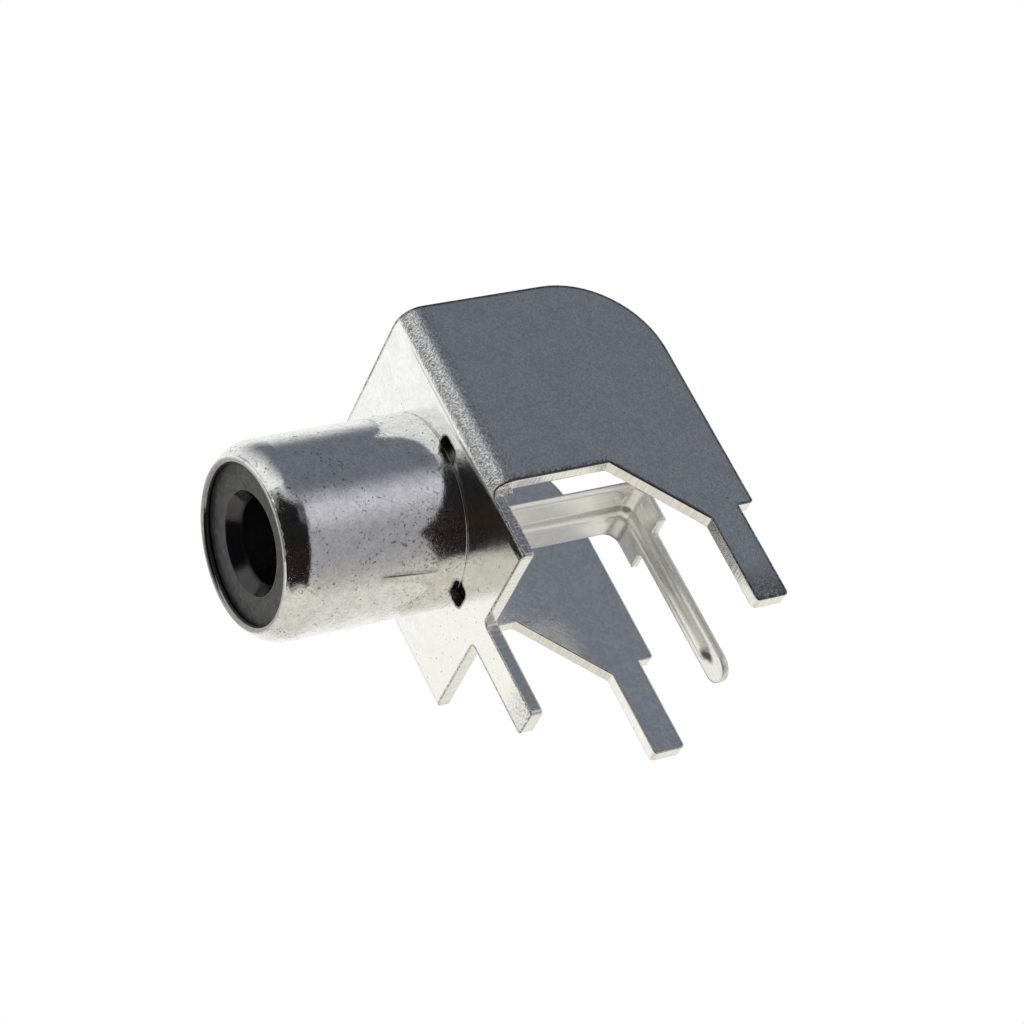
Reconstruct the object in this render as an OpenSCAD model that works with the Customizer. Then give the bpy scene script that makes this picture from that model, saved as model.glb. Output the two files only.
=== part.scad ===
// Right-angle phono socket that is soldered to a printed circuit board.
// Lengths are in millimetres. The board's top face is z = 0, the signal pin goes through the board at the
// origin, and the plug is pushed on towards +Y.

/* [Bracket] */
// Overall width across the two cheeks
bracket_w = 12; // [11.5:0.1:14]
// Height of the plate and the cheeks above the board
bracket_h = 12.2; // [11.2:0.1:14]
// Depth from the plate's front face to the cheeks' rear edges
cheek_d = 10.9; // [9.5:0.1:13]
// Thickness of the folded sheet
sheet_t = 0.55; // [0.4:0.05:0.7]
// Inside radius of the two folds
fold_r = 0.45; // [0.1:0.05:0.6]
// Radius of the cheeks' rounded rear corner
cheek_corner_r = 4.15; // [2:0.05:5]
// Height of the cheeks' lower edge above the board
cheek_gap = 3.15; // [2:0.05:4]
// Distance from the plate's front face to the start of the cheeks' slanting edge
slant_start = 5.5; // [4:0.1:6.5]
// How far the slanting edge goes on below the board's top face
slant_drop = 0.35; // [0.05:0.05:0.6]
// Radius of the plate's two lower corners
toe_corner_r = 0.1; // [0.05:0.05:0.6]
// Radius of the fillets between the folds' lower ends and the plate's sides
toe_root_r = 0.3; // [0.1:0.05:0.5]

/* [Solder legs] */
// Length of the bracket's legs below the board's top face
leg_l = 4.5; // [3:0.1:6]
// Width of the two rear legs
rear_leg_w = 1.55; // [1:0.05:2]
// Width of the shoulder behind each rear leg, which rests on the board
shoulder_w = 0.75; // [0.4:0.05:1.5]
// Radius of the shoulders' rear corners
shoulder_corner_r = 0.15; // [0.05:0.05:0.3]
// Width of the front leg
front_leg_w = 1.5; // [1:0.05:2]
// Radius of the fillets at the front leg's root
leg_root_r = 0.2; // [0.1:0.05:0.6]
// Radius of the corners at the legs' tips
leg_tip_r = 0.2; // [0.05:0.05:0.4]

/* [Barrel] */
// Distance from the plate's top edge down to the barrel's axis
axis_drop = 5.95; // [5.3:0.05:6.6]
// Outside diameter of the barrel, which the plug's shell grips
barrel_d = 8.3; // [8:0.05:8.6]
// Length of the barrel in front of the plate
barrel_l = 8.1; // [7:0.1:10]
// Thickness of the barrel's wall
barrel_wall = 0.3; // [0.2:0.05:0.4]
// Outside radius of the curled front edge
nose_r = 1.5; // [1:0.05:1.8]
// Diameter of the opening inside the curled edge
lip_d = 6.7; // [6.3:0.05:7]
// How far the lip's rounded edge stands out from each side of the wall
lip_swell = 0.02; // [0.01:0.005:0.03]
// Radius of the corner where the barrel meets the plate
shoulder_r = 0.1; // [0.05:0.05:0.2]
// Diameter of the neck that goes through the plate
neck_d = 7.5; // [7.2:0.05:7.7]
// Diameter of the ring that is clinched behind the plate
clinch_d = 9; // [8.4:0.1:9.4]
// Clearance of the neck in the plate's hole, on the radius
neck_clear = 0.05; // [0.02:0.01:0.1]

/* [Plate notches] */
// Number of notches around the plate's hole
notch_count = 4; // [3:1:6]
// Width of each notch
notch_w = 1.1; // [0.6:0.05:1.6]
// How far each notch reaches beyond the barrel's surface
notch_reach = 0.5; // [0.3:0.05:0.8]
// Radius of each notch's outer corners
notch_corner_r = 0.3; // [0.15:0.05:0.3]
// How far the clinched metal stands forward in each notch
key_depth = 0.1; // [0.05:0.05:0.3]
// Clearance of the clinched metal in each notch
key_clear = 0.05; // [0.02:0.01:0.1]

/* [Insulator] */
// Depth of the insulator's face behind the barrel's front edge
face_recess = 0.4; // [0.1:0.05:0.6]
// Clearance of the insulator in the barrel
insulator_clear = 0.03; // [0.01:0.01:0.06]
// Diameter of the entry's mouth at the face
mouth_d = 4.4; // [4.1:0.05:5]
// Depth of the entry's tapered mouth
mouth_depth = 0.6; // [0.3:0.05:1]
// Clearance of the plug's pin in the entry, on the radius
entry_clear = 0.2; // [0.1:0.02:0.3]
// Depth of the wall in front of the contact's sleeve, from the face
front_wall = 2.6; // [1.6:0.1:3.2]
// Length of the insulator's boss behind the clinched ring
boss_l = 1.1; // [0.6:0.1:2]
// Depth of the slot across the boss that holds the contact's tongue
slot_depth = 0.5; // [0.3:0.05:0.8]

/* [Contact] */
// Diameter of the plug's centre pin, which is the sleeve's bore
plug_pin_d = 3.2; // [3.1:0.05:3.3]
// Thickness of the contact's strip
contact_t = 0.3; // [0.25:0.05:0.4]
// Clearance between the contact and the insulator
contact_clear = 0.05; // [0.02:0.01:0.1]
// Extra room around the sleeve's fingers, on the radius
finger_room = 0.3; // [0.1:0.05:0.5]
// Length of the fingers at the sleeve's front
finger_l = 3.8; // [2:0.1:4.5]
// Width of the seam along the top of the sleeve
seam_w = 0.5; // [0.3:0.05:0.8]
// Width of the two slots between the fingers
finger_slot_w = 0.4; // [0.2:0.05:0.6]
// Depth of the bevel inside the sleeve's front end
sleeve_bevel = 0.15; // [0.05:0.05:0.2]
// Length of the sleeve's sloping rear end, where it opens into the tongue
sleeve_slope = 1.4; // [1:0.1:4]
// Width of the tongue
tongue_w = 3.4; // [3:0.1:4]
// Distance from the plate's front face to the middle of the signal pin
pin_setback = 9.63; // [8.5:0.01:12]
// Inside radius of the contact's bend
contact_bend_r = 0.6; // [0.4:0.05:0.8]
// Height of the contact's shoulders above the board
contact_shoulder_h = 2.5; // [1.5:0.1:3]
// Width of the signal pin
pin_w = 1.4; // [1.2:0.05:1.8]
// Length of the signal pin below the board's top face
pin_l = 4.55; // [3:0.05:6]
// Radius of the fillets where the pin leaves the shoulders
pin_root_r = 0.2; // [0.05:0.05:0.3]
// Width of the stiffening rib
rib_w = 0.85; // [0.6:0.05:1]
// Height of the stiffening rib
rib_h = 0.2; // [0.1:0.02:0.24]
// Distance from the end of the rib to the tip of the signal pin
rib_end = 1.1; // [0.8:0.05:2]

/* [Hidden] */
$fn = 96;

// How far a cutting shape goes past the face that it cuts
cut = 1;

// The plate and the folds
plate_y = -pin_setback;
plate_rear_y = plate_y + sheet_t;
cheek_rear_y = plate_y + cheek_d;
fold_outer_r = fold_r + sheet_t;
half_w = bracket_w / 2;
inner_half_w = half_w - sheet_t;
leg_rear_y = cheek_rear_y - shoulder_w;
leg_front_y = leg_rear_y - rear_leg_w;
slant_y = plate_y + slant_start;

// The barrel: radii from its axis, and lengths forward from the plate's front face
axis_h = bracket_h - axis_drop;
barrel_r = barrel_d / 2;
bore_r = barrel_r - barrel_wall;
nose_centre_r = barrel_r - nose_r;
nose_mid_r = nose_r - barrel_wall / 2;
lip_r = barrel_wall / 2 + lip_swell;
lip_centre_r = lip_d / 2 + lip_r;
nose_angle = acos((lip_centre_r - nose_centre_r) / nose_mid_r);
nose_start = barrel_l - nose_mid_r * sin(nose_angle) - lip_r;
neck_r = neck_d / 2;
neck_bore_r = neck_r - barrel_wall;
hole_r = neck_r + neck_clear;
clinch_rear = -(sheet_t + barrel_wall);
notch_r = barrel_r + notch_reach;

// The insulator
body_r = bore_r - insulator_clear;
boss_r = neck_bore_r - insulator_clear;
face_at = barrel_l - face_recess;
boss_rear = clinch_rear - boss_l;
entry_r = plug_pin_d / 2 + entry_clear;

// The contact's sleeve
sleeve_r = plug_pin_d / 2;
sleeve_outer_r = sleeve_r + contact_t;
chamber_front = face_at - front_wall;
chamber_r = sleeve_outer_r + contact_clear;
finger_chamber_r = chamber_r + finger_room;
sleeve_front = chamber_front - contact_clear;
finger_rear = sleeve_front - finger_l;

// The contact's tongue, bend and pin
tongue_z = axis_h - sleeve_outer_r;
tongue_y = plate_y - boss_rear - slot_depth + contact_clear;
pin_front_y = -contact_t / 2;
bend_y = pin_front_y - contact_bend_r;
bend_z = tongue_z - contact_bend_r;
tongue_l = bend_y - tongue_y;
slope_y = plate_y - boss_rear;
rib_r = (pow(rib_w / 2, 2) + pow(rib_h, 2)) / (2 * rib_h);
rib_centre = rib_r - rib_h;
groove_r = rib_r - contact_t;
rib_drop = bend_z + pin_l - rib_end - rib_w / 2;

// Places a child that is drawn around Z on the barrel's axis, with +Z pointing out of the socket
module on_axis() {
    translate([0, plate_y, axis_h]) rotate([90, 0, 0]) children();
}

// Stands a front view, drawn as X and Z, on the plate: its thickness goes back from the front face
module on_plate() {
    translate([0, plate_rear_y, 0]) rotate([90, 0, 0]) linear_extrude(sheet_t) children();
}

// Stands a plan, drawn from the plate's front face back, up through the bracket's whole height
module upright() {
    translate([0, plate_y, -leg_l - cut]) linear_extrude(leg_l + bracket_h + 2 * cut) children();
}

// A ring's half-section between two radii and two lengths along the axis
module ring_2d(inner, outer, from, to) {
    translate([inner, from]) square([outer - inner, to - from]);
}

// The two small corners between a strip of width w, which goes down from y = 0, and the edge that it leaves
module root_fillets_2d(w, r) {
    for (side = [-1, 1]) {
        difference() {
            translate([side * (w + r) / 2, -r / 2]) square(r, center = true);
            translate([side * (w / 2 + r), -r]) circle(r);
        }
    }
}

// A solder leg with rounded corners at its tip, l long below y = 0 and carried up into the sheet
module leg_2d(w, l, up) {
    translate([-w / 2, leg_tip_r - l]) square([w, l + up - leg_tip_r]);
    translate([leg_tip_r - w / 2, -l]) square([w - 2 * leg_tip_r, leg_tip_r]);
    for (side = [-1, 1]) {
        translate([side * (w / 2 - leg_tip_r), leg_tip_r - l]) circle(leg_tip_r);
    }
}

// A rectangle from y = 0 back, with its two front corners rounded
module round_front_2d(half, depth, r) {
    translate([-half, r]) square([2 * half, depth - r]);
    translate([r - half, 0]) square([2 * (half - r), depth]);
    for (side = [-1, 1]) {
        translate([side * (half - r), r]) circle(r);
    }
}

// What a corner of radius r loses when it is rounded, with the corner up and to the right
module corner_2d(r) {
    difference() {
        square(r + cut);
        circle(r);
    }
}

// Plan of the plate and the two cheeks, with the rounded folds between them
module folded_plan_2d() {
    difference() {
        round_front_2d(half_w, cheek_d, fold_outer_r);
        translate([0, sheet_t]) round_front_2d(inner_half_w, cheek_d, fold_r);
    }
}

// Side view of a cheek and its leg, with y to the right and z up
module cheek_2d() {
    difference() {
        polygon([
            [plate_y - cut, cheek_gap],
            [slant_y, cheek_gap],
            [leg_front_y, -slant_drop],
            [leg_rear_y, -slant_drop],
            [leg_rear_y, 0],
            [cheek_rear_y, 0],
            [cheek_rear_y, bracket_h],
            [plate_y - cut, bracket_h]
        ]);
        translate([cheek_rear_y - cheek_corner_r, bracket_h - cheek_corner_r]) corner_2d(cheek_corner_r);
        translate([cheek_rear_y - shoulder_corner_r, shoulder_corner_r]) mirror([0, 1]) {
            corner_2d(shoulder_corner_r);
        }
    }
    translate([(leg_front_y + leg_rear_y) / 2, 0]) leg_2d(rear_leg_w, leg_l, -slant_drop);
}

// Front view of the plate below the folds, with the front leg
module toe_2d() {
    translate([-inner_half_w, toe_corner_r]) square([2 * inner_half_w, cheek_gap + sheet_t - toe_corner_r]);
    translate([toe_corner_r - inner_half_w, 0]) square([2 * (inner_half_w - toe_corner_r), toe_corner_r]);
    for (side = [-1, 1]) {
        translate([side * (inner_half_w - toe_corner_r), toe_corner_r]) circle(toe_corner_r);
    }
    leg_2d(front_leg_w, leg_l, toe_corner_r);
    root_fillets_2d(front_leg_w, leg_root_r);
}

// One notch, or what fills it with a clearance all round, from the hole's centre out along +X
module notch_2d(clear) {
    w = notch_w - 2 * clear;
    reach = notch_r - clear;
    r = notch_corner_r - clear;
    translate([0, -w / 2]) square([reach - r, w]);
    translate([0, r - w / 2]) square([reach, w - 2 * r]);
    for (side = [-1, 1]) {
        translate([reach - r, side * (w / 2 - r)]) circle(r);
    }
}

// Folded sheet: front plate, two cheeks, a front leg and two rear legs
module shell_bracket() {
    color("silver") difference() {
        union() {
            intersection() {
                upright() folded_plan_2d();
                union() {
                    translate([-half_w - cut, 0, 0]) {
                        rotate([90, 0, 90]) linear_extrude(bracket_w + 2 * cut) cheek_2d();
                    }
                    translate([0, plate_y + fold_outer_r, cheek_gap]) rotate([90, 0, 0]) {
                        linear_extrude(fold_outer_r + cut) root_fillets_2d(2 * inner_half_w, toe_root_r);
                    }
                }
            }
            intersection() {
                upright() round_front_2d(half_w, cheek_d, fold_outer_r);
                on_plate() toe_2d();
            }
        }
        on_axis() {
            translate([0, 0, -sheet_t - cut]) {
                cylinder(r = hole_r, h = sheet_t + 2 * cut);
                for (i = [0 : notch_count - 1]) {
                    rotate(i * 360 / notch_count) linear_extrude(sheet_t + 2 * cut) notch_2d(0);
                }
            }
        }
    }
}

// Half-section of the curled front edge: an arc of the wall that ends in a rounded lip
module nose_2d() {
    reach = 2 * nose_r;
    translate([nose_centre_r, nose_start]) {
        intersection() {
            difference() {
                circle(nose_r);
                circle(nose_r - barrel_wall);
            }
            polygon([[0, 0], [reach, 0], [reach, reach], [reach * cos(nose_angle), reach * sin(nose_angle)]]);
        }
        translate([nose_mid_r * cos(nose_angle), nose_mid_r * sin(nose_angle)]) circle(lip_r);
    }
}

// Half-section of the drawn barrel, from the clinched ring behind the plate to the curled lip
module barrel_2d() {
    clinch_r = clinch_d / 2 - barrel_wall / 2;
    ring_2d(bore_r, barrel_r, shoulder_r, nose_start);
    ring_2d(neck_bore_r, barrel_r - shoulder_r, 0, barrel_wall);
    translate([barrel_r - shoulder_r, shoulder_r]) circle(shoulder_r);
    ring_2d(neck_bore_r, neck_r, clinch_rear, barrel_wall);
    ring_2d(neck_bore_r, clinch_r, clinch_rear, -sheet_t);
    translate([clinch_r, clinch_rear + barrel_wall / 2]) circle(barrel_wall / 2);
    nose_2d();
}

// Drawn tube with a curled front edge, clinched into the plate's notches from behind
module barrel_sleeve() {
    color("gainsboro") on_axis() {
        rotate_extrude() barrel_2d();
        translate([0, 0, clinch_rear]) linear_extrude(barrel_wall + key_depth) difference() {
            for (i = [0 : notch_count - 1]) {
                rotate(i * 360 / notch_count) notch_2d(key_clear);
            }
            circle(neck_r - barrel_wall / 2);
        }
    }
}

// Half-section of the insulator before its bores are cut
module insulator_blank_2d() {
    round_r = nose_r - barrel_wall - insulator_clear;
    ring_2d(0, boss_r, boss_rear, barrel_wall + cut);
    ring_2d(0, body_r, barrel_wall, nose_start);
    ring_2d(0, nose_centre_r, nose_start - cut, face_at);
    intersection() {
        translate([nose_centre_r, nose_start]) circle(round_r);
        ring_2d(0, body_r, nose_start - round_r, face_at);
    }
}

// Half-section of the entry, the room around the fingers and the chamber for the sleeve
module insulator_bores_2d() {
    polygon([
        [0, face_at + cut],
        [mouth_d / 2, face_at + cut],
        [mouth_d / 2, face_at],
        [entry_r, face_at - mouth_depth],
        [0, face_at - mouth_depth]
    ]);
    ring_2d(0, entry_r, chamber_front - cut, face_at);
    ring_2d(0, finger_chamber_r, finger_rear, chamber_front);
    ring_2d(0, chamber_r, boss_rear - cut, chamber_front);
}

// Moulded plug that fills the barrel, with a slot across its rear for the contact's tongue
module insulator() {
    slot_w = tongue_w + 2 * contact_clear;
    slot_top = contact_t + contact_clear - sleeve_outer_r;
    color([0.13, 0.13, 0.14]) on_axis() difference() {
        rotate_extrude() difference() {
            insulator_blank_2d();
            insulator_bores_2d();
        }
        translate([-slot_w / 2, -boss_r - cut, boss_rear - cut]) {
            cube([slot_w, boss_r + cut + slot_top, slot_depth + cut]);
        }
    }
}

// The split sleeve: a seam along the top, slots between the fingers, a bevelled mouth and a sloping rear end
module contact_sleeve() {
    slope_run = sleeve_slope + sleeve_outer_r;
    slope_angle = -atan2(2 * sleeve_outer_r, sleeve_slope);
    slope_top = axis_h + sleeve_outer_r;
    difference() {
        on_axis() difference() {
            rotate_extrude() difference() {
                ring_2d(sleeve_r, sleeve_outer_r, boss_rear - sleeve_slope, sleeve_front);
                polygon([
                    [sleeve_r - cut, sleeve_front - sleeve_bevel - cut],
                    [sleeve_r + sleeve_bevel + cut, sleeve_front + cut],
                    [sleeve_r - cut, sleeve_front + cut]
                ]);
            }
            translate([-seam_w / 2, 0, boss_rear - sleeve_slope - cut]) {
                cube([seam_w, sleeve_outer_r + cut, sleeve_front - boss_rear + sleeve_slope + 2 * cut]);
            }
            translate([-sleeve_outer_r - cut, -finger_slot_w / 2, finger_rear]) {
                cube([2 * (sleeve_outer_r + cut), finger_slot_w, finger_l + cut]);
            }
        }
        translate([-sleeve_outer_r - cut, slope_y, slope_top]) {
            rotate([slope_angle, 0, 0]) {
                cube([2 * (sleeve_outer_r + cut), 2 * slope_run, 2 * slope_run]);
            }
        }
    }
}

// Places a child on the tongue: X is the way from its lower face up, Y its width and Z its length backwards
module on_tongue() {
    translate([0, tongue_y, tongue_z]) rotate([0, -90, -90]) children();
}

// Places a child on the bend: X is the distance from the bend's axis, turned from the tongue to the pin
module on_bend() {
    translate([0, bend_y, bend_z]) rotate([0, -90, 0]) children();
}

// Places a child on the pin: X is the way from its front face back, Y its width and Z its length downwards
module on_pin() {
    translate([0, pin_front_y, bend_z]) rotate([180, 0, 90]) children();
}

// Section of the flat strip
module strip_2d() {
    translate([0, -tongue_w / 2]) square([contact_t, tongue_w]);
}

// Section of the rib, which stands out of the lower and front face
module rib_2d() {
    intersection() {
        translate([rib_centre, 0]) circle(rib_r);
        translate([-rib_h, -rib_w]) square([rib_h + contact_t / 2, 2 * rib_w]);
    }
}

// Section of the groove behind the rib
module groove_2d() {
    translate([rib_centre, 0]) circle(groove_r);
}

// Runs a section along the tongue, round the bend and down the pin
module along_strip() {
    on_tongue() linear_extrude(tongue_l) children();
    on_bend() rotate_extrude(angle = 90) translate([contact_bend_r, 0]) children();
    on_pin() linear_extrude(rib_drop) children();
}

// Front view of the strip below the bend, with x across and y downwards: shoulders, pin and round tip
module pin_2d() {
    shoulder = bend_z - contact_shoulder_h;
    tip = bend_z + pin_l;
    translate([-tongue_w / 2, 0]) square([tongue_w, shoulder]);
    translate([-pin_w / 2, 0]) square([pin_w, tip - pin_w / 2]);
    translate([0, tip - pin_w / 2]) circle(pin_w / 2);
    translate([0, shoulder]) mirror([0, 1]) root_fillets_2d(pin_w, pin_root_r);
}

// The round end of the rib or of its groove
module rib_end_ball(r) {
    on_pin() translate([rib_centre, 0, rib_drop]) sphere(r);
}

// Rolled and stamped strip: spring sleeve, ribbed tongue, bend and signal pin
module centre_contact() {
    color("lightgray") difference() {
        union() {
            contact_sleeve();
            on_tongue() linear_extrude(tongue_l) strip_2d();
            on_bend() rotate_extrude(angle = 90) translate([contact_bend_r, 0]) strip_2d();
            translate([0, pin_front_y + contact_t, bend_z]) {
                rotate([90, 0, 0]) linear_extrude(contact_t) mirror([0, 1]) pin_2d();
            }
            along_strip() rib_2d();
            intersection() {
                rib_end_ball(rib_r);
                on_pin() translate([-rib_h, -rib_w, rib_drop]) {
                    cube([rib_h + contact_t / 2, 2 * rib_w, 2 * rib_r]);
                }
            }
        }
        along_strip() groove_2d();
        rib_end_ball(groove_r);
    }
}

shell_bracket();
barrel_sleeve();
insulator();
centre_contact();
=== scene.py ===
from types import SimpleNamespace

import bpy
from mathutils import Matrix, Vector


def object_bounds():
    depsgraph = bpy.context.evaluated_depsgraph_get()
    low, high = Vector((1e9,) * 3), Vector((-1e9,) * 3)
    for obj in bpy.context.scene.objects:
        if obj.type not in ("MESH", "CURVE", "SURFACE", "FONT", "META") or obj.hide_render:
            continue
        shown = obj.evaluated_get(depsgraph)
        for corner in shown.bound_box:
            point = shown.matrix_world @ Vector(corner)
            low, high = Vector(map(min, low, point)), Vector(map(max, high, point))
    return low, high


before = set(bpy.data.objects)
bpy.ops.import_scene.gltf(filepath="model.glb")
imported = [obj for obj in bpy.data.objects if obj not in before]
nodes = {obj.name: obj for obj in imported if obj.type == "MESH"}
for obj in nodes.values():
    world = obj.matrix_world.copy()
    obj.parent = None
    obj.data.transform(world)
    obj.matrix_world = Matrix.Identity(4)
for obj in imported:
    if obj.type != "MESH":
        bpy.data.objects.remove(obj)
cad_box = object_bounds()


# Places on the part, in millimetres from its origin

# A pair tells where a change starts and where it is complete

# A point on the barrel's axis, and the two directions that lead away from that axis
BARREL_AXIS = (0, 0, 6.25)
AWAY_FROM_AXIS = (1, 0, 1)
# Where each fold leaves the plate, across the part, and where it becomes the cheek, from front to rear
FOLD_X = 5.0
FOLD_Y = -8.63
# Just behind the plate's rear face, just behind the folds and just in front of the rear legs
BEHIND_PLATE = -9.0
BEHIND_FOLDS = -8.5
BEFORE_REAR_LEGS = -1.05
# Across the part: just outside the cheeks' inner faces, about mid sheet, and just inside the outer faces
INNER_FACE = 5.46
MID_SHEET = 5.75
OUTER_FACE = 5.9
# The cheeks' lower edge: the height of its level part and just below that, then the height of its
# slanting part at y = 0 and the rise of that part for each millimetre of y
CHEEK_EDGE = 3.15
TOE_TOP = 3.14
SLANT_START = -1.513
SLANT_RISE = -1.129
# Above that edge: the strip that the shears rolled over, its lower limit, and a wider strip of specks
ROLLED_STRIP = (0.04, 0.36)
ROLLED_LOW = -0.05
SPECKLED_STRIP = (0.3, 1.2)
# Heights: the upper end of the pressed line beside each fold, the plate's lower part, the legs, their ends
PRESSED_TOP = (11.0, 10.2)
PLATE_FOOT = (4.0, 1.5)
LEGS = (0.5, -1.0)
LEG_ENDS = (-2.2, -4.2)
# From the left side to the right
LEFT_TO_RIGHT = (-2.0, 2.0)
# Just outside the notches round the plate's hole, and just inside that hole from the front
NOTCH_REACH = 4.85
HOLE_FRONT = -9.58
# Just inside the barrel's outside, the curled lip from its inner edge outward, and just behind the lip
BARREL_SIDE = 4.0
LIP = (3.48, 3.68)
BEHIND_LIP = -16.9
# The painted dark reflection streak on the barrel: its two ends, from front to rear
STREAK_FRONT = (-13.8, -13.1)
STREAK_REAR = (-12.2, -10.8)
# The edge of the insulator's mouth, from its axis, and the end of its cone, from front to rear
MOUTH_EDGE = (2.16, 2.24)
CONE_END = (-16.95, -16.65)
# The lower end of the contact's rib, how far the painted dark reflection there reaches, and how each axis
# counts for that
RIB_END = (0.08, 0, -3.34)
DARK_END_REACH = (0.08, 0.32)
DARK_END_SHARES = (1, 0, 0.6)

# Degrees

# Round a fold, from 0 at the plate to 90 at the cheek: the two ends of its rough skin, the line that the
# folding tool pressed beside it, that line's half width, and the start of the cheek's outside
ROUGH_START = (18.0, 30.0)
ROUGH_END = (70.0, 112.0)
PRESSED_LINE = 16.5
PRESSED_HALF = 4.5
CHEEK_START = (60.0, 90.0)
# Round the barrel: the painted dark reflection streak at y = 0, its turn for each millimetre of y, and its
# half width
STREAK_AT = -85.71
STREAK_TURN = -1.508
STREAK_HALF = (0.2, 0.85)

# Other measures

# The share of a normal from which a face counts as turned that way, to a side or the front, or up and down
FACING = 0.5
FACING_UP = 0.4
# How deep the bumps of a whole noise are, in metres
SKIN_DEPTH = 0.00004
CONTACT_DEPTH = 0.00005
# The turn of the axes for grain, pits and other marks on the sheet and the barrel, in radians
SKEW = (0.7, 0.4, 1.1)


# Colours, as red, green, blue and alpha

TIN_SHADE = (0.86, 0.875, 0.885, 1)
TIN_SHINE = (0.98, 0.975, 0.96, 1)
WARM_TIN = (0.92, 0.90, 0.845, 1)
BARE_SHADE = (0.855, 0.845, 0.805, 1)
BARE_SHINE = (0.965, 0.955, 0.915, 1)
FOLD_GRIT = (0.22, 0.22, 0.225, 1)
PRESSED_GREY = (0.2, 0.2, 0.2, 1)
ROLLED_DARK = (0.14, 0.135, 0.125, 1)
SPECK = (0.16, 0.15, 0.14, 1)
GRIME = (0.15, 0.145, 0.125, 1)
DIRT = (0.12, 0.115, 0.105, 1)
HOLE_WALL_PAINTED_SHADE = (0.5, 0.49, 0.46, 1)

NICKEL_SHADE = (0.72, 0.715, 0.71, 1)
NICKEL_SHINE = (0.925, 0.92, 0.91, 1)
PIT = (0.20, 0.19, 0.175, 1)
PAINTED_REFLECTION_STREAK = (0.03, 0.03, 0.027, 1)
NECK_PAINTED_SHADE = (0.6, 0.59, 0.56, 1)

PLASTIC_SHADE = (0.020, 0.020, 0.021, 1)
PLASTIC_SHINE = (0.049, 0.048, 0.048, 1)
MOUTH_PAINTED_SHADE = (0.003, 0.003, 0.004, 1)
DUST = (0.16, 0.16, 0.155, 1)

CONTACT_SHADE = (0.875, 0.865, 0.815, 1)
CONTACT_SHINE = (0.94, 0.935, 0.895, 1)
CONTACT_MARK = (0.24, 0.22, 0.19, 1)
RIB_END_PAINTED_REFLECTION = (0.05, 0.048, 0.038, 1)

CARD_SHADE = (0.86, 0.86, 0.855, 1)
CARD_SHINE = (0.90, 0.90, 0.895, 1)


# Helpers for shader trees

class Tree:
    """Adds nodes to a shader tree and links what they are given."""

    def __init__(self, tree):
        self.tree = tree
        tree.nodes.clear()

    def add(self, kind, inputs=None, **settings):
        made = self.tree.nodes.new(kind)
        for name, value in settings.items():
            setattr(made, name, value)
        for name, value in (inputs or {}).items():
            self.put(made.inputs[name], value)
        return made

    def put(self, socket, value):
        if isinstance(value, bpy.types.NodeSocket):
            self.tree.links.new(value, socket)
        else:
            socket.default_value = value

    def math(self, operation, *values):
        return self.add("ShaderNodeMath", dict(enumerate(values)), operation=operation).outputs[0]

    def product(self, first, *others):
        result = first
        for other in others:
            result = self.math("MULTIPLY", result, other)
        return result

    def largest(self, first, *others):
        result = first
        for other in others:
            result = self.math("MAXIMUM", result, other)
        return result

    def weighted(self, a, share_a, b, share_b):
        """The sum of two values, each times its share."""
        return self.math("ADD", self.product(a, share_a), self.product(b, share_b))

    def above(self, value, limit):
        """1 where the value is over the limit, and 0 elsewhere."""
        return self.math("GREATER_THAN", value, limit)

    def below(self, value, limit):
        """1 where the value is under the limit, and 0 elsewhere."""
        return self.math("LESS_THAN", value, limit)

    def remainder(self, share):
        """What a share leaves of 1."""
        return self.math("SUBTRACT", 1.0, share)

    def ramp(self, value, low, high, to_low=0.0, to_high=1.0):
        """value from low..high, spread smoothly over to_low..to_high and held there."""
        made = self.add("ShaderNodeMapRange", {"Value": value, "From Min": low, "From Max": high,
                                               "To Min": to_low, "To Max": to_high},
                        interpolation_type="SMOOTHSTEP")
        return made.outputs["Result"]

    def fade(self, value, low, high):
        """1 below low and 0 above high."""
        return self.ramp(value, low, high, 1.0, 0.0)

    # A mix node has sockets of the same names for numbers and for colours, so they are told by their place
    def blend(self, factor, a, b):
        """A number between a and b."""
        return self.add("ShaderNodeMix", {0: factor, 2: a, 3: b}, data_type="FLOAT").outputs[0]

    def mix(self, factor, a, b):
        """A colour between a and b."""
        return self.add("ShaderNodeMix", {0: factor, 6: a, 7: b}, data_type="RGBA").outputs[2]

    def layers(self, base, *covers):
        """The base colour under covers, each a share and a colour."""
        result = base
        for share, colour in covers:
            result = self.mix(share, result, colour)
        return result

    def vector(self, operation, *values):
        made = self.add("ShaderNodeVectorMath", dict(enumerate(values)), operation=operation)
        return made.outputs["Value" if operation in ("DOT_PRODUCT", "LENGTH") else "Vector"]

    def scaled(self, vector, factor):
        made = self.add("ShaderNodeVectorMath", {0: vector, "Scale": factor}, operation="SCALE")
        return made.outputs["Vector"]

    def split(self, vector):
        return self.add("ShaderNodeSeparateXYZ", {"Vector": vector}).outputs

    def noise(self, point, scale, detail=2.0, roughness=0.5):
        made = self.add("ShaderNodeTexNoise", {"Vector": point, "Scale": scale, "Detail": detail,
                                               "Roughness": roughness})
        return made.outputs["Fac"]

    def millimetres(self):
        """The point on the object, in millimetres."""
        return self.scaled(self.add("ShaderNodeTexCoord").outputs["Object"], 1000.0)

    def skewed(self, point):
        """The same point by axes that no face lies along, so that noise shows no grid."""
        return self.add("ShaderNodeVectorRotate", {"Vector": point, "Rotation": SKEW},
                        rotation_type="EULER_XYZ").outputs["Vector"]

    def distance(self, point, centre, shares):
        """How far a point is from the centre, with each axis counted by its share."""
        away = self.vector("SUBTRACT", point, centre)
        return self.vector("LENGTH", self.vector("MULTIPLY", away, shares))


def new_material(name):
    material = bpy.data.materials.new(name)
    material.use_nodes = True
    return material, Tree(material.node_tree)


def surface(tree, shader):
    tree.add("ShaderNodeOutputMaterial", {"Surface": shader})


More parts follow.
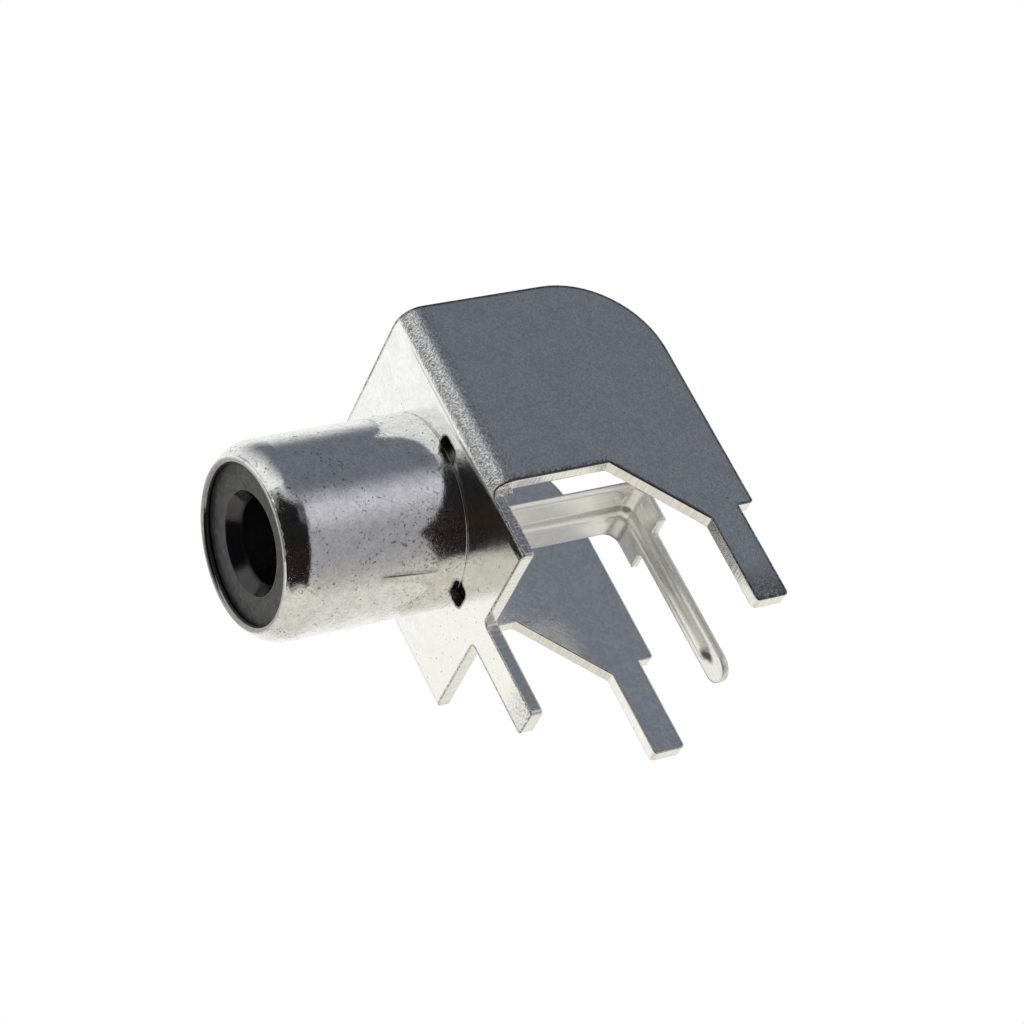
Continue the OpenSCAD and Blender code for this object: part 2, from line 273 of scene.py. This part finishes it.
def principled(tree, **inputs):
    named = {name.replace("_", " "): value for name, value in inputs.items()}
    surface(tree, tree.add("ShaderNodeBsdfPrincipled", named).outputs["BSDF"])


def flecks(tree, point, scale, level, spread=0.04):
    """1 inside small marks of uneven outline, which are fewer where level is higher."""
    return tree.ramp(tree.noise(point, scale, detail=3.0, roughness=0.55), level, level + spread)


def scratches(tree, point, scale, width, share):
    """1 on short thin curved lines."""
    wobble = tree.add("ShaderNodeTexNoise", {"Vector": point, "Scale": scale * 0.6, "Detail": 1.0})
    moved = tree.vector("ADD", point, tree.scaled(wobble.outputs["Color"], 1.2 / scale))
    cells = tree.add("ShaderNodeTexVoronoi", {"Vector": moved, "Scale": scale}, feature="DISTANCE_TO_EDGE")
    line = tree.fade(cells.outputs["Distance"], width * 0.4, width)
    where = tree.ramp(tree.noise(point, scale * 1.3, detail=1.0), 1.0 - share, 1.08 - share)
    return tree.product(line, where)


def rounded_edges(tree, radius, samples=8):
    """The surface's normal, with its edges rounded."""
    return tree.add("ShaderNodeBevel", {"Radius": radius}, samples=samples).outputs["Normal"]


def bumped(tree, normal, height, strength, depth):
    return tree.add("ShaderNodeBump", {"Normal": normal, "Height": height, "Strength": strength,
                                       "Distance": depth}).outputs["Normal"]


# Materials

def add_fold_places(tree, place):
    """Adds the folds, the line pressed beside each one and the cheeks' outsides."""
    across = tree.math("SUBTRACT", place.off_middle, FOLD_X)
    forward = tree.math("SUBTRACT", FOLD_Y, place.y)
    round_fold = tree.math("DEGREES", tree.math("ARCTAN2", across, forward))
    place.fold = tree.product(tree.ramp(round_fold, *ROUGH_START), tree.fade(round_fold, *ROUGH_END))
    from_line = tree.math("ABSOLUTE", tree.math("SUBTRACT", round_fold, PRESSED_LINE))
    place.pressed = tree.product(tree.fade(from_line, 0.0, PRESSED_HALF), tree.ramp(place.z, *PRESSED_TOP))
    place.outer = tree.product(tree.ramp(round_fold, *CHEEK_START), tree.above(place.off_middle, MID_SHEET))


def add_strip_places(tree, place):
    """Adds the two strips above the lower edge of the cheeks' outsides."""
    slanting = tree.math("MULTIPLY_ADD", place.y, SLANT_RISE, SLANT_START)
    over_edge = tree.math("SUBTRACT", place.z, tree.math("MINIMUM", CHEEK_EDGE, slanting))
    outside = tree.product(tree.above(place.off_middle, OUTER_FACE), tree.above(place.faces_side, FACING))
    on_cheek = tree.product(tree.above(over_edge, ROLLED_LOW), tree.below(place.y, BEFORE_REAR_LEGS))
    place.rolled = tree.product(tree.fade(over_edge, *ROLLED_STRIP), outside, on_cheek)
    place.speckled = tree.product(tree.fade(over_edge, *SPECKLED_STRIP), outside)


def add_edge_places(tree, place):
    """Adds the sheared edges, the faces between them and the wall of the plate's hole."""
    not_front = tree.below(place.faces_front, FACING)
    level = tree.above(place.faces_up, FACING_UP)
    cheek_edge = tree.product(place.cheek, tree.below(place.faces_side, FACING))
    plate_edge = tree.product(place.plate, tree.below(place.off_middle, INNER_FACE), not_front)
    toe_edge = tree.product(tree.below(place.z, TOE_TOP), tree.below(place.y, BEHIND_FOLDS), not_front)
    place.sheared = tree.largest(level, cheek_edge, plate_edge, toe_edge)
    place.face = tree.remainder(place.sheared)
    from_axis = tree.distance(place.point, BARREL_AXIS, AWAY_FROM_AXIS)
    place.in_hole = tree.product(plate_edge, tree.below(from_axis, NOTCH_REACH))


def add_dirty_places(tree, place):
    """Adds where dirt gathers: the plate's lower part with the front leg, the right side and its legs."""
    place.foot = tree.product(place.plate, tree.ramp(place.z, *PLATE_FOOT))
    # The left side has a fifth of the right side's dirt
    right_side = tree.ramp(place.x, *LEFT_TO_RIGHT, 0.2, 1.0)
    place.right_legs = tree.product(tree.ramp(place.z, *LEGS), right_side)
    place.leg_ends = tree.product(tree.ramp(place.z, *LEG_ENDS), right_side)
    place.dirty = tree.largest(right_side, tree.product(place.foot, 0.75))


def sheet_places(tree, point, normal):
    """A point of the bracket, which way it faces, and shares that tell which places it belongs to."""
    place = SimpleNamespace(point=point)
    place.x, place.y, place.z = tree.split(point)
    place.off_middle = tree.math("ABSOLUTE", place.x)
    facing = [tree.math("ABSOLUTE", part) for part in tree.split(normal)]
    place.faces_side, place.faces_front, place.faces_up = facing
    place.cheek = tree.above(place.y, FOLD_Y)
    place.plate = tree.below(place.y, BEHIND_PLATE)
    add_fold_places(tree, place)
    add_strip_places(tree, place)
    add_edge_places(tree, place)
    add_dirty_places(tree, place)
    return place


def sheet_patterns(tree, point, cheek):
    """The sheet's uneven patterns, from broad to fine, and the lines that the shears left on cut edges."""
    skewed = tree.skewed(point)
    pattern = SimpleNamespace()
    pattern.patches = tree.ramp(tree.noise(skewed, scale=0.5), 0.42, 0.6)
    pattern.blotches = tree.noise(skewed, scale=1.1, detail=3.0, roughness=0.6)
    pattern.flecks = flecks(tree, skewed, scale=5.0, level=0.65)
    pattern.grain = tree.noise(skewed, scale=5.0, roughness=0.6)
    pattern.grit = tree.noise(skewed, scale=11.0, roughness=0.7)
    along_cheek = tree.noise(tree.vector("MULTIPLY", point, (1.2, 8.0, 8.0)), scale=1.0, detail=3.0)
    along_plate = tree.noise(tree.vector("MULTIPLY", point, (8.0, 1.2, 8.0)), scale=1.0, detail=3.0)
    pattern.shear_lines = tree.blend(cheek, along_plate, along_cheek)
    return pattern


def sheet_dirt(tree, place, pattern, normal):
    """Dirt on the sheet's faces: specks, grime on the legs' ends and dark rims along the cut edges."""
    dirt = SimpleNamespace()
    where = tree.largest(pattern.patches, place.speckled, place.foot, place.right_legs)
    dirt.specks = tree.product(pattern.flecks, where, place.face)
    dirt.grime = tree.product(place.leg_ends, tree.ramp(pattern.grit, 0.38, 0.58), place.face)
    # A wide rounding turns the normal near edges only
    rounded = rounded_edges(tree, radius=0.0003, samples=16)
    near_edge = tree.remainder(tree.vector("DOT_PRODUCT", rounded, normal))
    uneven = tree.ramp(pattern.grit, 0.36, 0.6, 0.4, 1.0)
    dirt.rims = tree.product(tree.ramp(near_edge, 0.004, 0.05), uneven, place.face, place.dirty)
    return dirt


def sheet_tone(tree, place, pattern, dirt):
    """The sheet's colour: mottled tin, with cut edges, wear and dirt over it, and painted shade on the wall
    of the plate's hole.
    """
    mottle = tree.weighted(pattern.grain, 0.6, pattern.blotches, 0.4)
    tin = tree.mix(tree.ramp(mottle, 0.39, 0.61), TIN_SHADE, TIN_SHINE)
    # The cheeks' outsides are duller and grainier than the rest
    dulled = tree.blend(place.outer, 1.0, tree.ramp(pattern.grit, 0.3, 0.7, 0.74, 0.94))
    bare = tree.mix(tree.ramp(pattern.shear_lines, 0.34, 0.66), BARE_SHADE, BARE_SHINE)
    fold_grit = tree.product(place.fold, tree.ramp(pattern.grit, 0.36, 0.62, 0.62, 0.0))
    rolled = tree.product(place.rolled, tree.fade(pattern.grit, 0.42, 0.58))
    return tree.layers(tree.scaled(tin, dulled),
                       (tree.product(place.foot, 0.6), WARM_TIN),
                       (place.sheared, bare),
                       (fold_grit, FOLD_GRIT),
                       (tree.product(place.pressed, 0.42), PRESSED_GREY),
                       (rolled, ROLLED_DARK),
                       (tree.product(dirt.specks, 0.55), SPECK),
                       (tree.product(dirt.grime, 0.75), GRIME),
                       (dirt.rims, DIRT),
                       # Painted shade on the wall of the plate's hole and in its notches
                       (place.in_hole, HOLE_WALL_PAINTED_SHADE))


def tinned_sheet():
    """Satin tin plate on folded sheet: fine grain, rough folds, sheared edges, specks and dark rims."""
    material, tree = new_material("tinned_sheet")
    point = tree.millimetres()
    normal = tree.add("ShaderNodeNewGeometry").outputs["Normal"]
    place = sheet_places(tree, point, normal)
    pattern = sheet_patterns(tree, point, place.cheek)
    dirt = sheet_dirt(tree, place, pattern, normal)
    skin = tree.weighted(pattern.grain, 0.4, pattern.grit, 0.6)
    height = tree.blend(place.sheared, skin, pattern.shear_lines)
    height = tree.math("SUBTRACT", height, tree.product(dirt.specks, 0.4))
    # The plate is smoother than the cheeks, and the folds are the roughest
    strength = tree.ramp(place.faces_front, 0.8, 0.95, 0.26, 0.18)
    strength = tree.math("ADD", strength, tree.product(place.fold, 0.74))
    bump = bumped(tree, rounded_edges(tree, radius=0.00011), height, strength, SKIN_DEPTH)
    rough = tree.math("MULTIPLY_ADD", pattern.grain, 0.12, 0.08)
    rough = tree.math("ADD", rough, tree.ramp(place.faces_side, 0.5, 0.95, 0.0, 0.05))
    tone = sheet_tone(tree, place, pattern, dirt)
    principled(tree, Base_Color=tone, Metallic=1.0, Roughness=rough, Normal=bump)
    return material


def painted_reflection_streak(tree, point, from_axis):
    """A painted dark reflection streak low on the right, which slants a little round the barrel and fades at
    both ends.
    """
    x, y, z = tree.split(tree.vector("SUBTRACT", point, BARREL_AXIS))
    round_axis = tree.math("DEGREES", tree.math("ARCTAN2", z, x))
    line = tree.math("MULTIPLY_ADD", y, STREAK_TURN, STREAK_AT)
    off_line = tree.math("ABSOLUTE", tree.math("SUBTRACT", round_axis, line))
    length = tree.product(tree.ramp(y, *STREAK_FRONT), tree.fade(y, *STREAK_REAR))
    return tree.product(tree.fade(off_line, *STREAK_HALF), length, tree.above(from_axis, BARREL_SIDE))


def plated_barrel():
    """Bright nickel plate: mirror finish with a fine peel, clusters of tiny pits and a few scratches, with a
    painted dark reflection streak and painted shade inside the plate's hole.
    """
    material, tree = new_material("plated_barrel")
    point = tree.millimetres()
    y = tree.split(point)[1]
    from_axis = tree.distance(point, BARREL_AXIS, AWAY_FROM_AXIS)
    skewed = tree.skewed(point)
    peel = tree.noise(skewed, scale=1.7)
    smudge = tree.noise(skewed, scale=2.2)
    fine = tree.noise(skewed, scale=9.0, roughness=0.6)
    clusters = tree.ramp(tree.noise(skewed, scale=0.6), 0.44, 0.60)
    pits = tree.product(flecks(tree, skewed, scale=6.5, level=0.60), clusters)
    lone_pits = flecks(tree, skewed, scale=4.2, level=0.665, spread=0.025)
    lines = tree.product(scratches(tree, skewed, scale=0.8, width=0.014, share=0.40), 0.6)
    marks = tree.largest(pits, lone_pits, lines)
    # Painted shade darkens the neck and the keys inside the plate's hole, which are also rougher, and the
    # curled lip is darker
    in_hole = tree.above(y, HOLE_FRONT)
    lip = tree.product(tree.fade(from_axis, *LIP), tree.below(y, BEHIND_LIP))

    height = tree.math("SUBTRACT", tree.weighted(peel, 1.3, fine, 0.3), tree.product(marks, 0.25))
    bump = bumped(tree, rounded_edges(tree, radius=0.00005), height, 0.2, SKIN_DEPTH)
    smudged = tree.weighted(fine, 0.6, smudge, 0.4)
    nickel = tree.mix(tree.ramp(smudged, 0.36, 0.64), NICKEL_SHADE, NICKEL_SHINE)
    tone = tree.layers(tree.scaled(nickel, tree.ramp(lip, 0.0, 1.0, 1.0, 0.38)),
                       (tree.product(marks, 0.74), PIT),
                       # A painted dark reflection streak, low on the right
                       (tree.product(painted_reflection_streak(tree, point, from_axis), 0.85), PAINTED_REFLECTION_STREAK),
                       # Painted shade on the neck and the keys inside the plate's hole
                       (in_hole, NECK_PAINTED_SHADE))
    rough = tree.math("MULTIPLY_ADD", fine, 0.07, 0.08)
    rough = tree.math("ADD", rough, tree.product(in_hole, 0.2))
    principled(tree, Base_Color=tone, Metallic=1.0, Roughness=rough, Normal=bump)
    return material


def black_moulding():
    """Matte black moulded plastic: mottled and grainy outside, smoother in the mouth."""
    material, tree = new_material("black_moulding")
    point = tree.millimetres()
    outside = tree.ramp(tree.distance(point, BARREL_AXIS, AWAY_FROM_AXIS), *MOUTH_EDGE)
    deep = tree.ramp(tree.split(point)[1], *CONE_END)
    texture = tree.noise(point, scale=6.0, detail=3.0, roughness=0.6)
    mottle = tree.noise(point, scale=2.6, detail=3.0, roughness=0.6)
    dust = tree.product(flecks(tree, point, scale=5.0, level=0.70), outside)
    strength = tree.ramp(outside, 0.0, 1.0, 0.1, 0.5)
    bump = bumped(tree, rounded_edges(tree, radius=0.00006), texture, strength, SKIN_DEPTH)
    plastic = tree.mix(tree.ramp(mottle, 0.3, 0.7), PLASTIC_SHADE, PLASTIC_SHINE)
    # Painted shade: the mouth and the bore are painted much darker than the outside
    tone = tree.layers(MOUTH_PAINTED_SHADE, (outside, plastic), (tree.product(dust, 0.35), DUST))
    mouth_rough = tree.ramp(deep, 0.0, 1.0, 0.16, 0.4)
    rough = tree.blend(outside, mouth_rough, tree.ramp(texture, 0.2, 0.8, 0.48, 0.66))
    gloss = tree.blend(outside, tree.ramp(deep, 0.0, 1.0, 0.8, 0.25), 0.5)
    principled(tree, Base_Color=tone, Roughness=rough, Specular_IOR_Level=gloss, Normal=bump)
    return material


def tinned_contact():
    """Dull tin plate on the rolled strip: smooth warm silver, with a few marks and a painted dark reflection
    at its rib's lower end.
    """
    material, tree = new_material("tinned_contact")
    point = tree.millimetres()
    waves = tree.noise(point, scale=0.9, detail=1.0)
    grain = tree.noise(point, scale=7.0)
    # Lines that rolling left along the strip
    streaks = tree.noise(tree.vector("MULTIPLY", point, (6.0, 0.25, 0.25)), scale=1.0)
    marks = flecks(tree, point, scale=4.0, level=0.74)
    # A painted dark reflection at the rib's lower end, drawn out along the rib
    rib_end_reflection = tree.ramp(tree.distance(point, RIB_END, DARK_END_SHARES), *DARK_END_REACH, 0.9, 0.0)

    height = tree.weighted(waves, 2.2, streaks, 0.1)
    bump = bumped(tree, rounded_edges(tree, radius=0.0002), height, 0.3, CONTACT_DEPTH)
    tin = tree.mix(tree.ramp(streaks, 0.3, 0.7), CONTACT_SHADE, CONTACT_SHINE)
    tone = tree.layers(tin, (tree.product(marks, 0.4), CONTACT_MARK), (rib_end_reflection, RIB_END_PAINTED_REFLECTION))
    rough = tree.math("ADD", tree.ramp(grain, 0.25, 0.75, 0.27, 0.35), tree.product(rib_end_reflection, 0.3))
    # Partly matt, so that it stays pale where it mirrors the dark camera side
    principled(tree, Base_Color=tone, Metallic=0.8, Roughness=rough, Normal=bump)
    return material


def pale_floor():
    """Pale card that takes the shadow. It isn't there from below, nor in the metal's reflections."""
    material, tree = new_material("pale_floor")
    tone = tree.mix(tree.noise(tree.millimetres(), scale=0.05, detail=3.0), CARD_SHADE, CARD_SHINE)
    card = tree.add("ShaderNodeBsdfDiffuse", {"Color": tone}).outputs["BSDF"]
    clear = tree.add("ShaderNodeBsdfTransparent").outputs["BSDF"]
    path = tree.add("ShaderNodeLightPath").outputs
    from_below = tree.add("ShaderNodeNewGeometry").outputs["Backfacing"]
    unseen = tree.largest(from_below, path["Is Glossy Ray"], path["Is Transmission Ray"])
    surface(tree, tree.add("ShaderNodeMixShader", {0: unseen, 1: card, 2: clear}).outputs["Shader"])
    return material


for node_name, make in (("shell_bracket", tinned_sheet), ("barrel_sleeve", plated_barrel),
                        ("insulator", black_moulding), ("centre_contact", tinned_contact)):
    finish = make()
    for slot in nodes[node_name].material_slots:
        slot.material = finish


# Surroundings: a white studio with a dark camera side and a grey ceiling, which the metal mirrors

# The camera's axes. The studio is level with the camera, so its directions are told by them
CAMERA_RIGHT = Vector((0.32699, 0.84628, -0.42059))
CAMERA_UP = Vector((0.58413, 0.16886, 0.79390))
CAMERA_BACK = Vector((0.74288, -0.50527, -0.43912))
# Metres: the camera's place, the middle of the part, which the lamps point at, and half the floor's width
CAMERA_PLACE = (0.109505, -0.079879, -0.059414)
PART_MIDDLE = Vector((0, -0.008, 0.005))
FLOOR_HALF = 0.6


def studio_sky(tree):
    """The colour that the studio has in the direction of a ray."""
    ray = tree.vector("NORMALIZE", tree.add("ShaderNodeTexCoord").outputs["Generated"])
    side = tree.vector("DOT_PRODUCT", ray, CAMERA_RIGHT)
    rise = tree.vector("DOT_PRODUCT", ray, CAMERA_UP)
    near = tree.vector("DOT_PRODUCT", ray, CAMERA_BACK)
    turn = tree.math("DEGREES", tree.math("ARCTAN2", side, near))
    height = tree.math("DEGREES", tree.math("ARCSINE", rise))

    def patch(left, right, low, high, soft):
        """1 inside a patch of the surroundings, in degrees. soft is how far each of its four edges fades."""
        return tree.product(tree.ramp(turn, left - soft[0], left + soft[0]),
                            tree.fade(turn, right - soft[1], right + soft[1]),
                            tree.ramp(height, low - soft[2], low + soft[2]),
                            tree.fade(height, high - soft[3], high + soft[3]))

    white = (0.97, 0.97, 0.945, 1)
    table = (0.73, 0.71, 0.645, 1)
    wall_low = (0.50, 0.49, 0.46, 1)
    wall_mid = (0.345, 0.342, 0.36, 1)
    wall_high = (0.62, 0.61, 0.67, 1)
    left_wall = (0.24, 0.24, 0.235, 1)
    ceiling = (0.160, 0.174, 0.203, 1)
    soft_box = (0.93, 0.93, 0.935, 1)
    camera_side = (0.013, 0.013, 0.014, 1)
    warm_shade = (0.021, 0.0135, 0.0115, 1)
    side_screen = (0.100, 0.105, 0.116, 1)
    right_wall = tree.layers(wall_low,
                             (tree.ramp(height, -48.0, -18.0), wall_mid),
                             (tree.ramp(height, 0.0, 30.0), wall_high))
    return tree.layers(white,
                       (tree.ramp(height, -20.0, -60.0), table),
                       (patch(24, 95, -52, 100, (7, 20, 7, 1)), right_wall),
                       (patch(-78, -30, -20, 34, (5, 6, 10, 4)), left_wall),
                       (tree.ramp(height, 27.0, 57.0), ceiling),
                       (patch(-118, -13, 34, 64, (36, 11, 6, 20)), soft_box),
                       (patch(-37, 40, -55, 40, (4, 4, 6, 9)), camera_side),
                       (patch(-32, 34, -42, -8, (8, 8, 8, 12)), warm_shade),
                       (patch(18, 37, 17, 36, (5, 4, 5, 6)), side_screen))


def studio_world():
    """The studio for reflections, plain white for the camera and a weaker white light for matt surfaces."""
    world = bpy.data.worlds.new("studio")
    bpy.context.scene.world = world
    world.use_nodes = True
    # No light samples, because they would give metal the light that is meant for matt surfaces
    world.cycles.sampling_method = "NONE"
    tree = Tree(world.node_tree)
    path = tree.add("ShaderNodeLightPath").outputs
    mirrored = tree.largest(path["Is Glossy Ray"], path["Is Transmission Ray"])
    colour = tree.mix(mirrored, (1.0, 1.0, 1.0, 1), studio_sky(tree))
    strength = tree.ramp(tree.largest(mirrored, path["Is Camera Ray"]), 0.0, 1.0, 0.6, 1.0)
    background = tree.add("ShaderNodeBackground", {"Color": colour, "Strength": strength})
    tree.add("ShaderNodeOutputWorld", {"Surface": background.outputs["Background"]})


def new_object(name, data):
    made = bpy.data.objects.new(name, data)
    bpy.context.scene.collection.objects.link(made)
    return made


def lamp(name, place, power, size):
    """A soft lamp that points at the middle of the part and isn't mirrored as a shape."""
    data = bpy.data.lights.new(name, "AREA")
    data.energy = power
    data.shape = "DISK"
    data.size = size
    made = new_object(name, data)
    aim = PART_MIDDLE - Vector(place)
    made.matrix_world = Matrix.Translation(place) @ aim.to_track_quat("-Z", "Y").to_matrix().to_4x4()
    made.visible_glossy = False


studio_world()
lamp("key_lamp", (-0.16, -0.26, 0.20), power=0.42, size=0.22)
lamp("fill_lamp", (0.26, -0.10, 0.16), power=0.22, size=0.24)
lamp("low_lamp", (0.05, -0.24, -0.20), power=0.16, size=0.24)

floor_z = cad_box[0][2]
floor_corners = [(FLOOR_HALF * right, FLOOR_HALF * back, floor_z)
                 for right, back in ((-1, -1), (1, -1), (1, 1), (-1, 1))]
floor_mesh = bpy.data.meshes.new("floor")
floor_mesh.from_pydata(floor_corners, [], [(0, 1, 2, 3)])
floor_mesh.materials.append(pale_floor())
floor = new_object("floor", floor_mesh)
# The low lamp is under the floor and shines through it
floor.visible_shadow = False


# Camera at the photograph's angle, which looks up at the part from the front right

camera_data = bpy.data.cameras.new("camera")
camera_data.sensor_width = 36.0
camera_data.lens = 124.27
camera_data.clip_start = 0.005
camera_data.clip_end = 10.0
camera = new_object("camera", camera_data)
camera_turn = Matrix((CAMERA_RIGHT, CAMERA_UP, CAMERA_BACK)).transposed()
camera.matrix_world = Matrix.Translation(CAMERA_PLACE) @ camera_turn.to_4x4()
bpy.context.scene.camera = camera

bpy.context.scene.view_settings.view_transform = "Standard"
